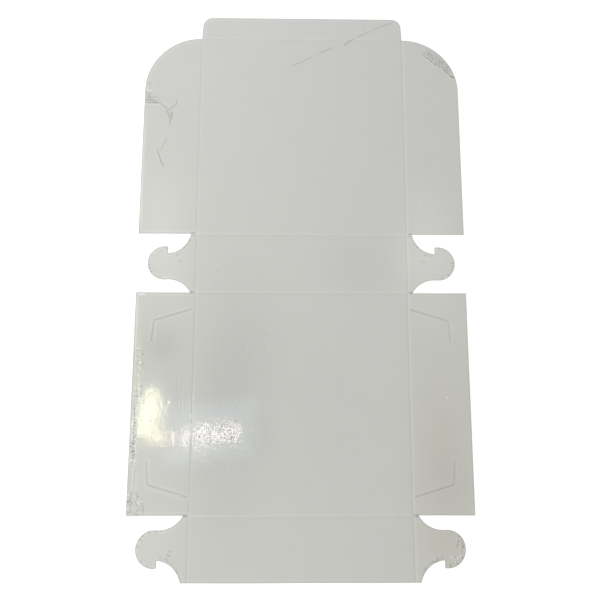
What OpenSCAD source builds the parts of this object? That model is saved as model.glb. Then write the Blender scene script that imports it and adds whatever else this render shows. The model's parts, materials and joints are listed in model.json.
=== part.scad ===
// Flat die-cut blank of a square cake box with locking hooks and a hinged lid.
// It is one sheet of card, lying with its inner face up, ready to be folded.
// X runs across the box. Y runs from the front wall over the base and the back wall to the lid.
// Z = 0 is the surface that the sheet lies on. Every panel folds up about the top of its crease.

/* [Card] */
// Thickness of the card
card_t = 0.4; // [0.3:0.05:0.6]
// Clearance between layers of card that lie side by side in the folded box
layer_gap = 0.1; // [0.05:0.05:0.5]
// Width of the knife cuts that part the walls, the hook tabs and the lid's flaps
knife_gap = 0.4; // [0.2:0.05:1]
// Width of a crease's groove, on each side of its line
groove_w = 0.9; // [0.4:0.1:1.5]
// Depth of a crease's groove at its line
groove_d = 0.16; // [0.05:0.01:0.24]

/* [Box] */
// Width of the base, between the creases of the side walls
box_w = 228.6; // [180:0.1:300]
// Depth of the base, between the creases of the front and back walls
box_d = 229.7; // [180:0.1:300]
// Height of the back wall, which carries the lid
wall_h = 64.1; // [56:0.1:80]
// How far the edge of a side wall stays below the closed lid
side_drop = 0.5; // [0.2:0.1:4]
// How far the edge of the front wall stays below the closed lid
front_drop = 0.1; // [0.1:0.1:4]

/* [Hook tabs] */
// Reach of a hook, from the crease of its tab to the far side of its head
hook_reach = 52.2; // [48:0.1:60]
// Radius of the hook's round head
hook_r = 18.4; // [16:0.1:21]
// Width of the tab at the end next to the base
root_w = 5.5; // [4:0.1:7]
// Width of the tab at the free edge of its wall
root_top_w = 6.4; // [4:0.1:8]
// Radius of the sweep from the root to the head, on the side next to the base
sweep_r = 28; // [24:0.5:34]
// Radius of the open throat behind the hook's tip
throat_r = 26.5; // [22:0.5:32]
// How far the straight edge of the throat lies behind the centre of the head
throat_back = 3.1; // [1:0.1:6]
// How far the floor of the throat lies above the centre of the head
throat_rise = 10.75; // [8:0.05:12]
// Radius on the hook's tip
tip_r = 1.2; // [0.6:0.1:2]

/* [Slits] */
// Width of the L-shaped slits in the side walls
slit_w = 0.4; // [0.2:0.05:1]
// Play between a slit's corner and the corner of the throat that locks into it
slit_play = 0.3; // [0.1:0.05:1]
// How far the foot of a slit leans back towards the end of its wall
slit_lean = 12.1; // [8:0.1:16]
// Distance of the foot of a slit from the crease of its wall
slit_foot_h = 2.9; // [2:0.1:8]
// Length of the slit's arm along the edge of the wall
slit_arm = 22.5; // [12:0.5:30]
// How far that arm drifts outwards over its length
slit_drift = 1.8; // [0:0.1:3]

/* [Lid] */
// Gap between the front wall and the tuck flap of the closed lid
front_gap = 1.6; // [0.2:0.1:5]
// Height of the lid's side flaps, which is also the radius of their rounded corners
flap_h = 63; // [50:0.1:64]
// Height of the tuck flap
tuck_h = 25.8; // [16:0.1:40]
// Radius on the corners of the tuck flap
tuck_r = 11; // [4:0.5:15]
// How far each end of the tuck flap tapers in
tuck_taper = 0.8; // [0:0.1:6]

/* [Hidden] */
$fn = 96;
card_colour = [0.78, 0.79, 0.77];
// Length by which a cutter runs past the card
past = 1;
side_h = wall_h - side_drop;
front_h = wall_h - front_drop;
// The hook tabs fold outside the side walls, and the lid's flaps outside the hook tabs
tab_offset = card_t + layer_gap;
wall_w = box_w + 2 * tab_offset;
lid_w = wall_w + 2 * tab_offset;
lid_d = box_d + card_t + front_gap;
head = [hook_reach - hook_r, wall_h / 2];
throat_corner = head + [-throat_back, throat_rise];
slit_corner = [throat_corner.y + slit_play, throat_corner.x - slit_play];
slit_foot = [slit_foot_h, slit_corner.y - slit_lean];
slit_end = slit_corner + [slit_drift, slit_arm];
// Places of the creases and edges along Y, from the front crease of the base
back_crease = box_d;
lid_crease = back_crease + wall_h;
tuck_crease = lid_crease + lid_d;
blank_end = tuck_crease + tuck_h;
mid_y = (blank_end - front_h) / 2;

// Point where two circles meet, on the right of the line from p to q (side 1) or on its left (side -1)
function circles_meet(p, p_r, q, q_r, side) =
    let (apart = norm(q - p),
         dir = (q - p) / apart,
         along = (p_r * p_r - q_r * q_r + apart * apart) / (2 * apart),
         off = sqrt(p_r * p_r - along * along))
    p + dir * along + side * off * [dir.y, -dir.x];

// Puts the centre of the blank's outline over the origin
module in_place() color(card_colour) translate([0, -mid_y, 0]) children();

// Turns a piece drawn on the right of the blank into the one on its left
module on_left() mirror([1, 0, 0]) children();

// Lays a piece drawn with its crease along X so that the crease runs along Y and the piece lies at +X
module crease_along_y() mirror([1, -1, 0]) children();

// One flank of a crease's groove, cut along X from the origin into a panel that lies at +Y
module groove(length) {
    translate([-past, 0, card_t]) rotate([90, 0, 90]) linear_extrude(length + 2 * past)
        polygon([[-past, -groove_d], [0, -groove_d], [groove_w, 0], [groove_w, past], [-past, past]]);
}

// Plain panel centred on X, from its front edge at Y = 0, with a crease along each side that is named true
module panel(width, depth, front = false, back = false, sides = false) {
    difference() {
        translate([-width / 2, 0, 0]) cube([width, depth, card_t]);
        if (front) translate([-width / 2, 0, 0]) groove(width);
        if (back) translate([-width / 2, depth, 0]) mirror([0, 1, 0]) groove(width);
        if (sides) for (side = [0, 1])
            mirror([side, 0, 0]) translate([-width / 2, 0, 0]) crease_along_y() groove(depth);
    }
}

// Waste outside a rounded corner at the origin, for an outline that lies at -X and -Y of it
module corner_waste(radius) {
    translate([-radius, -radius]) difference() {
        square(radius + past);
        circle(radius);
    }
}

// Outline of a hook tab: its crease on the Y axis, the base at Y = 0, the free edge of its wall at Y = top
module hook_outline(top) {
    root = [root_w, 0];
    root_top = [root_top_w, top];
    sweep = circles_meet(root, sweep_r, head, sweep_r + hook_r, 1);
    sweep_end = head + (sweep - head) * hook_r / (hook_r + sweep_r);
    throat = circles_meet(root_top, throat_r, throat_corner, throat_r, -1);
    tip_x = throat_corner.x + tip_r;
    tip_y = head.y + sqrt(pow(hook_r - tip_r, 2) - pow(tip_x - head.x, 2));
    difference() {
        union() {
            polygon([[0, 0], root, sweep_end, head, throat_corner, root_top, [0, top]]);
            translate(head) circle(hook_r);
        }
        translate(sweep) circle(sweep_r);
        // The throat stops at its straight edge, behind the tip
        intersection() {
            translate(throat) circle(throat_r);
            translate([throat_corner.x - hook_reach, 0]) square([hook_reach, top + throat_r]);
        }
        translate([tip_x, tip_y]) difference() {
            translate([-tip_r - past, 0]) square([tip_r + past, tip_r + past]);
            circle(tip_r);
        }
    }
}

// Hook tab on the right of a wall, standing from Y = 0 up to its wall's free edge
module hook_tab(top) {
    translate([wall_w / 2, 0, 0]) difference() {
        linear_extrude(card_t) hook_outline(top);
        crease_along_y() groove(top);
    }
}

// Straight cut between two points
module cut_line(from, to) {
    translate(from) rotate(atan2(to.y - from.y, to.x - from.x))
        translate([0, -slit_w / 2]) square([norm(to - from), slit_w]);
}

// L-shaped slit that takes a hook's throat: X out from the wall's crease, Y from the end of the base
module lock_slit() {
    cut_line(slit_foot, slit_corner);
    cut_line(slit_corner, slit_end);
    translate(slit_corner) circle(d = slit_w);
}

// Side wall on the right of the base, with a slit for the hook of the front wall and of the back wall
module side_wall() {
    translate([box_w / 2, 0, 0]) difference() {
        translate([0, knife_gap, 0]) cube([side_h, box_d - 2 * knife_gap, card_t]);
        crease_along_y() groove(box_d);
        translate([0, 0, -past]) linear_extrude(card_t + 2 * past) {
            lock_slit();
            translate([0, box_d]) mirror([0, 1]) lock_slit();
        }
    }
}

// Side flap on the right of the lid, with its front corner rounded off over its whole height
module lid_flap() {
    flap_start = lid_crease + knife_gap;
    flap_end = tuck_crease - knife_gap;
    translate([lid_w / 2, 0, 0]) difference() {
        linear_extrude(card_t) difference() {
            translate([0, flap_start]) square([flap_h, flap_end - flap_start]);
            translate([flap_h, flap_end]) corner_waste(flap_h);
        }
        crease_along_y() groove(blank_end);
    }
}

module base_panel() in_place() panel(box_w, box_d, front = true, back = true, sides = true);

module right_side_wall() in_place() side_wall();

module left_side_wall() in_place() on_left() side_wall();

module front_wall() in_place() mirror([0, 1, 0]) panel(wall_w, front_h, front = true, sides = true);

module front_right_hook() in_place() mirror([0, 1, 0]) hook_tab(front_h);

module front_left_hook() in_place() on_left() mirror([0, 1, 0]) hook_tab(front_h);

module back_wall() in_place() translate([0, back_crease, 0])
    panel(wall_w, wall_h, front = true, back = true, sides = true);

module back_right_hook() in_place() translate([0, back_crease, 0]) hook_tab(wall_h - knife_gap);

module back_left_hook() in_place() on_left() translate([0, back_crease, 0]) hook_tab(wall_h - knife_gap);

module lid() in_place() translate([0, lid_crease, 0])
    panel(lid_w, lid_d, front = true, back = true, sides = true);

module lid_right_flap() in_place() lid_flap();

module lid_left_flap() in_place() on_left() lid_flap();

module tuck_flap() in_place() translate([0, tuck_crease, 0]) difference() {
    end_w = lid_w / 2 - tuck_taper;
    linear_extrude(card_t) difference() {
        polygon([[-lid_w / 2, 0], [lid_w / 2, 0], [end_w, tuck_h - tuck_r], [end_w, tuck_h],
                 [-end_w, tuck_h], [-end_w, tuck_h - tuck_r]]);
        for (side = [0, 1]) mirror([side, 0]) translate([end_w, tuck_h]) corner_waste(tuck_r);
    }
    translate([-lid_w / 2, 0, 0]) groove(lid_w);
}

base_panel();
left_side_wall();
right_side_wall();
front_wall();
front_left_hook();
front_right_hook();
back_wall();
back_left_hook();
back_right_hook();
lid();
lid_left_flap();
lid_right_flap();
tuck_flap();
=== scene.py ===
# %% [markdown]
# # A cake box, lying flat as its die-cut blank
#
# The real thing is one sheet of white card. A steel rule die has cut its outline and its slits, and blunt
# rules have pressed a groove where each flap folds. Nothing is glued on, so everything that the eye sees is
# in that one sheet: its outline, the grooves, how flat it lies, its gloss and its small marks.
#
# The lesson builds one thin closed mesh for each panel and one bending strip for each crease, gives them all
# one card material made of node groups, and then lights the sheet from above as for a product photograph.

# %% Load the fixed frame and keep its box
import json
import math

import bpy
import numpy as np
from mathutils import Matrix, Vector, geometry

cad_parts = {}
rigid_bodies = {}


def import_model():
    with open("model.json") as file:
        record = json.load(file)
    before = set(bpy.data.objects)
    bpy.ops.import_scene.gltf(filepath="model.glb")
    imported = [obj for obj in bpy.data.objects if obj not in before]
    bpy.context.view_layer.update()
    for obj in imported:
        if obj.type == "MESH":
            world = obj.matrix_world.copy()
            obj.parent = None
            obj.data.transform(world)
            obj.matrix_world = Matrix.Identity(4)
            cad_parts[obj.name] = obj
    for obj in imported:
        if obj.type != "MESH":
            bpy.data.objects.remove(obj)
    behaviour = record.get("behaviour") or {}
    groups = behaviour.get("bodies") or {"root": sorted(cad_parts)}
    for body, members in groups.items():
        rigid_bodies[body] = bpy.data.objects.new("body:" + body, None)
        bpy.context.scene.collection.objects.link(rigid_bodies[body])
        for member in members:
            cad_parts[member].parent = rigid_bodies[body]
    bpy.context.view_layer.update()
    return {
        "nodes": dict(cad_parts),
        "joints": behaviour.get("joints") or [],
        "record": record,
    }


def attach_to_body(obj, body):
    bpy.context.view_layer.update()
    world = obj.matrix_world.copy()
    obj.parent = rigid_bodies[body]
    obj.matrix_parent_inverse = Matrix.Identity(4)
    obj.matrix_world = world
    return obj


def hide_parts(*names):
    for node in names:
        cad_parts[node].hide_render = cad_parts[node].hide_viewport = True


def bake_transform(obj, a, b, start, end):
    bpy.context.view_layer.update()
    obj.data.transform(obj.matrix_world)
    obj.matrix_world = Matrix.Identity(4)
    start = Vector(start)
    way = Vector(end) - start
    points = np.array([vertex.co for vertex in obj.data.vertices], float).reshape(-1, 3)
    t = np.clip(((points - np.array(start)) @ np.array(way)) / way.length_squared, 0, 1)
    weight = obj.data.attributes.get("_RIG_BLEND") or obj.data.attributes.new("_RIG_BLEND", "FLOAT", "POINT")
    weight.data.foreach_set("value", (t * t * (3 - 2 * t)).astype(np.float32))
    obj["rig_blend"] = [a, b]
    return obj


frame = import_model()
nodes = frame["nodes"]
joints = frame["joints"]
body_nodes = frame["record"]["behaviour"]["bodies"]
print("panels", len(nodes), "creases", len(joints))

# %% [markdown]
# ## Camera
#
# The view is straight down from not quite half a metre, so the near end of the sheet looks wider than the
# far end. A camera could be aimed at an empty, but here its three axes are written down as they were fitted
# to the creases, which keeps the lean of the camera exact.

# %% Place the camera
MM = 0.001
PHOTO_PX = 600
FOCAL_PX = 444.24
SENSOR_MM = 36
SHIFT_PX = 0.5
CAMERA_PLACE = Vector((-0.00563, -0.07915, 0.47547))
CAMERA_AIM = Vector((0.0095, 0.1189, -1.0))
CAMERA_ROLL = 0.0023


def place_camera():
    """A camera that looks down on the sheet, leaning a little towards the lid."""
    data = bpy.data.cameras.new("overhead_camera")
    data.sensor_width = SENSOR_MM
    data.lens = SENSOR_MM * FOCAL_PX / PHOTO_PX
    data.shift_x = -SHIFT_PX / PHOTO_PX
    data.shift_y = SHIFT_PX / PHOTO_PX
    data.clip_start = 0.01
    data.clip_end = 50
    camera = bpy.data.objects.new("overhead_camera", data)
    bpy.context.scene.collection.objects.link(camera)
    forward = CAMERA_AIM.normalized()
    level = Vector((-math.sin(CAMERA_ROLL), math.cos(CAMERA_ROLL), 0))
    right = forward.cross(level).normalized()
    up = right.cross(forward)
    camera.matrix_world = Matrix((
        (right.x, up.x, -forward.x, CAMERA_PLACE.x),
        (right.y, up.y, -forward.y, CAMERA_PLACE.y),
        (right.z, up.z, -forward.z, CAMERA_PLACE.z),
        (0, 0, 0, 1),
    ))
    bpy.context.scene.camera = camera
    return camera


camera = place_camera()
bpy.context.scene.view_settings.view_transform = "Standard"
print("lens", round(camera.data.lens, 2), "mm")

# %% [markdown]
# ## Creases
#
# A crease is a groove pressed into the card, about two millimetres wide. In the fixed frame it is a hinge
# line between two bodies. The list of joints gives each line's place and direction, and which panel lies on
# which side. From here on, lengths are in millimetres until a mesh is made.

# %% Read the crease lines


def read_crease(joint):
    """The line of one crease: a point on it, the way along it and the way to the folding panel."""
    point = np.array(joint["pos_m"][:2]) / MM
    runs_along_x = abs(joint["axis"][0]) > 0.5
    along = np.array([1.0, 0.0]) if runs_along_x else np.array([0.0, 1.0])
    away = np.array([-joint["axis"][1], joint["axis"][0]])
    return {
        "name": joint["name"],
        "parent": joint["parent"],
        "child": joint["child"],
        "point": point,
        "along": along,
        "away": away,
        "runs_along_x": runs_along_x,
    }


creases = [read_crease(joint) for joint in joints]
panel_body = {node: body for body, members in body_nodes.items() for node in members}
print("creases along X", sum(crease["runs_along_x"] for crease in creases))

# %% [markdown]
# ## Outlines
#
# Each panel's outline, with the slits in it, is already exact in the frame. It would be wasted work to draw
# it again, so the underside of each frame panel is read: an edge that only one of its faces uses is part of
# the outline, and those edges are chained into loops.

# %% Read the edges round a panel's underside
# In millimetres, corners closer together than this are one place
SAME_PLACE = 0.003
# In metres, a face below this height lies on the table
ON_TABLE = 1e-5


def underside_edges(mesh):
    """Directed edges round the faces that lie on the ground, keyed by their places in millimetres."""
    known = []

    def key(index):
        x, y = mesh.vertices[index].co.x / MM, mesh.vertices[index].co.y / MM
        for place in known:
            if abs(place[0] - x) + abs(place[1] - y) < SAME_PLACE:
                return place
        known.append((x, y))
        return known[-1]

    edges = set()
    for face in mesh.polygons:
        if max(mesh.vertices[i].co.z for i in face.vertices) > ON_TABLE:
            continue
        ring = [key(i) for i in face.vertices]
        if len(set(ring)) < len(ring):
            continue
        for start, end in zip(ring, ring[1:] + ring[:1]):
            if (end, start) in edges:
                edges.remove((end, start))
            else:
                edges.add((start, end))
    return edges


print("edges round the base", len(underside_edges(nodes["base_panel"].data)))

# %% [markdown]
# A knife leaves no gap worth seeing: the card springs back behind it and the slit closes to a hairline. The
# frame's slits are wider, to be solid shapes that can be checked. Drawing them anew would risk a mismatch, so
# their own outlines are kept and each side is moved towards the other.

# %% Chain the edges into loops and narrow the slits
# How far each side of a slit springs back, in millimetres
SLIT_SPRING = 0.17


def sprung_back(loop):
    """A slit's outline with its two sides moved together, as card closes up again behind the knife."""
    ahead = np.roll(loop, -1, 0) - loop
    ahead /= np.linalg.norm(ahead, axis=1)[:, None]
    behind = np.roll(ahead, 1, 0)
    first = np.column_stack([-behind[:, 1], behind[:, 0]])
    second = np.column_stack([-ahead[:, 1], ahead[:, 0]])
    mitre = (first + second) / (1 + (first * second).sum(1))[:, None]
    return loop - mitre * SLIT_SPRING


def outline_loops(node):
    """Closed loops of points round a panel and its slits, turned round because the underside faces down."""
    follow = {end: start for start, end in underside_edges(nodes[node].data)}
    loops = []
    while follow:
        first = next(iter(follow))
        loop = [first]
        place = follow.pop(first)
        while place != first:
            loop.append(place)
            place = follow.pop(place)
        loops.append(np.array(loop))
    outer = max(range(len(loops)), key=lambda number: np.ptp(loops[number], axis=0).max())
    return [loop if number == outer else sprung_back(loop) for number, loop in enumerate(loops)]


outlines = {node: outline_loops(node) for node in sorted(nodes)}
for node, loops in outlines.items():
    print(node, "loops", [len(loop) for loop in loops])

# %% [markdown]
# ## Where the panels stop
#
# If two stiff panels simply met at the crease, a wedge would open on the outside of each folded edge. Real
# card bends round it. So each panel stops just short of the crease, and a narrow strip between them bends
# when the panel folds. Seams have the same points on both sides, so that no gap shows.

# %% Pull the outline back from the creases
# Half the width of a strip, and how close to a crease a point counts as lying on it, in millimetres
CREASE_HALF = 0.45
NEAR = 0.02


def creases_of(node):
    """The creases of a panel, each with the side of the line that the panel lies on."""
    body = panel_body[node]
    found = []
    for crease in creases:
        if crease["parent"] == body:
            found.append((crease, -1))
        if crease["child"] == body:
            found.append((crease, 1))
    return found


def pulled_back(node):
    """The outline with its crease edges moved in, and for each point the creases that it lies on."""
    moved, marks = [], []
    for loop in outlines[node]:
        points = loop.astype(float).copy()
        lies_on = [set() for _ in points]
        for crease, side in creases_of(node):
            off = (loop - crease["point"]) @ crease["away"]
            for index in np.nonzero(np.abs(off) < NEAR)[0]:
                points[index] += crease["away"] * side * CREASE_HALF
                lies_on[index].add(crease["name"])
        moved.append(points)
        marks.append(lies_on)
    return moved, marks


print("creases round the base", len(creases_of("base_panel")), "and the lid", len(creases_of("lid")))

# %% [markdown]
# A panel and its strip share every point of their seam, or light would show between them when the crease
# folds. They could be welded afterwards, but they are separate pieces that move. So the places along a seam
# are whole multiples of one step on the flat sheet, which both pieces arrive at by themselves.

# %% Split the outline into short edges
SEAM_STEP = 1.5
CUT_STEP = 1.6
# No inner point of a seam lies closer to its ends than this
END_CLEAR = 0.3


def seam_places(low, high):
    """Places along a seam: the two ends, and every whole step between them."""
    first = math.floor(low / SEAM_STEP) + 1
    steps = np.arange(first, math.ceil(high / SEAM_STEP)) * SEAM_STEP
    keep = (steps > low + END_CLEAR) & (steps < high - END_CLEAR)
    return np.concatenate([[low], steps[keep], [high]])


def split_edge(start, end, shared):
    """Points from start up to, but not at, end. A seam edge is split where its strip is split too."""
    if shared:
        axis = int(np.argmax(np.abs(end - start)))
        places = seam_places(min(start[axis], end[axis]), max(start[axis], end[axis]))
        if start[axis] > end[axis]:
            places = places[::-1]
        points = np.repeat(start[None, :], len(places), 0)
        points[:, axis] = places
        return points[:-1]
    length = np.linalg.norm(end - start)
    count = max(1, int(math.ceil(length / CUT_STEP)))
    shares = np.arange(count)[:, None] / count
    return start + (end - start) * shares


def dense_outline(node):
    """Loops of closely spaced points, and for each of their edges whether it is a cut edge."""
    loops, cuts = [], []
    for points, lies_on in zip(*pulled_back(node)):
        ring, is_cut = [], []
        for index, start in enumerate(points):
            following = (index + 1) % len(points)
            shared = bool(lies_on[index] & lies_on[following])
            part = split_edge(start, points[following], shared)
            ring.append(part)
            is_cut += [not shared] * len(part)
        loops.append(np.concatenate(ring))
        cuts.append(np.array(is_cut))
    return loops, cuts


rings = {node: dense_outline(node) for node in outlines}
print("outline points", sum(len(loop) for loops, _ in rings.values() for loop in loops))

# %% [markdown]
# ## Distances
#
# Grooves, crushed rims and wrinkles all depend on how far a point is from a line. One function that measures
# from many points to many short lines at once, with arrays, serves all of them. A second one tells which
# points lie inside an outline, because the wrinkles and the even spread of points run past the edges.

# %% Measure from points to lines


def to_segments(points, starts, ends, reach=1e9, block=1500):
    """Distance from each point to the nearest segment, up to a reach, with the segment's number and share."""
    distance = np.full(len(points), float(reach))
    nearest = np.zeros(len(points), int)
    share = np.zeros(len(points))
    low, high = np.minimum(starts, ends) - reach, np.maximum(starts, ends) + reach
    order = np.argsort(points[:, 1], kind="stable")
    for first in range(0, len(points), block):
        chosen = order[first:first + block]
        part = points[chosen]
        close = (high >= part.min(0)).all(1) & (low <= part.max(0)).all(1)
        if not close.any():
            continue
        numbers = np.nonzero(close)[0]
        base, span = starts[numbers], (ends - starts)[numbers]
        rel = part[:, None, :] - base[None, :, :]
        along = np.clip((rel * span).sum(2) / np.maximum((span * span).sum(1), 1e-12), 0, 1)
        gap = np.hypot(*np.moveaxis(rel - along[:, :, None] * span, 2, 0))
        best = gap.argmin(1)
        rows = np.arange(len(part))
        distance[chosen] = np.minimum(gap[rows, best], reach)
        nearest[chosen] = numbers[best]
        share[chosen] = along[rows, best]
    return distance, nearest, share


trial = to_segments(np.zeros((1, 2)), np.array([[3.0, -1.0]]), np.array([[3.0, 1.0]]))
print("distance to a line 3 mm away", trial[0][0])

# %% Find the points inside a panel


def inside(points, loops):
    """Whether each point is inside the outer loop and outside the slits, by counting crossings."""
    result = np.zeros(len(points), bool)
    for loop in loops:
        ahead = np.roll(loop, -1, 0)
        for start, end in zip(loop, ahead):
            if start[1] == end[1]:
                continue
            spans = (points[:, 1] > start[1]) != (points[:, 1] > end[1])
            at_x = start[0] + (points[:, 1] - start[1]) / (end[1] - start[1]) * (end[0] - start[0])
            result ^= spans & (points[:, 0] < at_x)
    return result


base_middle = np.concatenate(outlines["base_panel"]).mean(0)[None, :]
print("middle of the base is inside it", inside(base_middle, outlines["base_panel"])[0])

# %% List the creases, cut edges and slits as short lines


def crease_segments():
    """The two ends of every crease, from the panel that folds."""
    starts, ends = [], []
    for crease in creases:
        node = body_nodes[crease["child"]][0]
        loop = np.concatenate(outlines[node])
        on_line = loop[np.abs((loop - crease["point"]) @ crease["away"]) < NEAR]
        reach = on_line @ crease["along"]
        across = crease["point"] - crease["along"] * (crease["point"] @ crease["along"])
        starts.append(across + crease["along"] * reach.min())
        ends.append(across + crease["along"] * reach.max())
    return np.array(starts), np.array(ends)


def cut_segments():
    """Every cut edge of the sheet."""
    starts, ends = [], []
    for loops, cuts in rings.values():
        for loop, is_cut in zip(loops, cuts):
            starts.append(loop[is_cut])
            ends.append(np.roll(loop, -1, 0)[is_cut])
    return np.concatenate(starts), np.concatenate(ends)


def slit_segments():
    """Every edge of the slits, which are all the loops but the largest of a panel."""
    starts, ends = [], []
    for loops in outlines.values():
        outer = max(np.ptp(loop, axis=0).max() for loop in loops)
        for loop in loops:
            if np.ptp(loop, axis=0).max() < outer:
                starts.append(loop)
                ends.append(np.roll(loop, -1, 0))
    return np.concatenate(starts), np.concatenate(ends)


crease_starts, crease_ends = crease_segments()
cut_starts, cut_ends = cut_segments()
slit_starts, slit_ends = slit_segments()
print("cut edges", len(cut_starts), "slit edges", len(slit_starts))

# %% [markdown]
# ## Wrinkles, crimps and flecks
#
# This sheet has been handled. A long fine wrinkle crosses the lid, one side flap is crumpled at its edge, the
# side wall's free edge is puckered, and the tips of the hooks are bent. They could be painted or faked with a
# bump, but a real wrinkle also shows from the side. So each one is a line with a height, a width and a tone,
# and the surface is raised along it.

# %% List the single wrinkles


def wrinkle(height, width, tone, *points, warmth=0.0):
    """A raised line, or below zero a pressed one, in millimetres, and its tone and warmth: painted highlight
    above zero, painted shade below.
    """
    line = np.array(points, float)
    return {"height": height, "width": width, "tone": tone, "line": line, "warmth": warmth}


# A wrinkle's tone is painted shade and highlight, where its flanks would miss or catch the lamps
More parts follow.
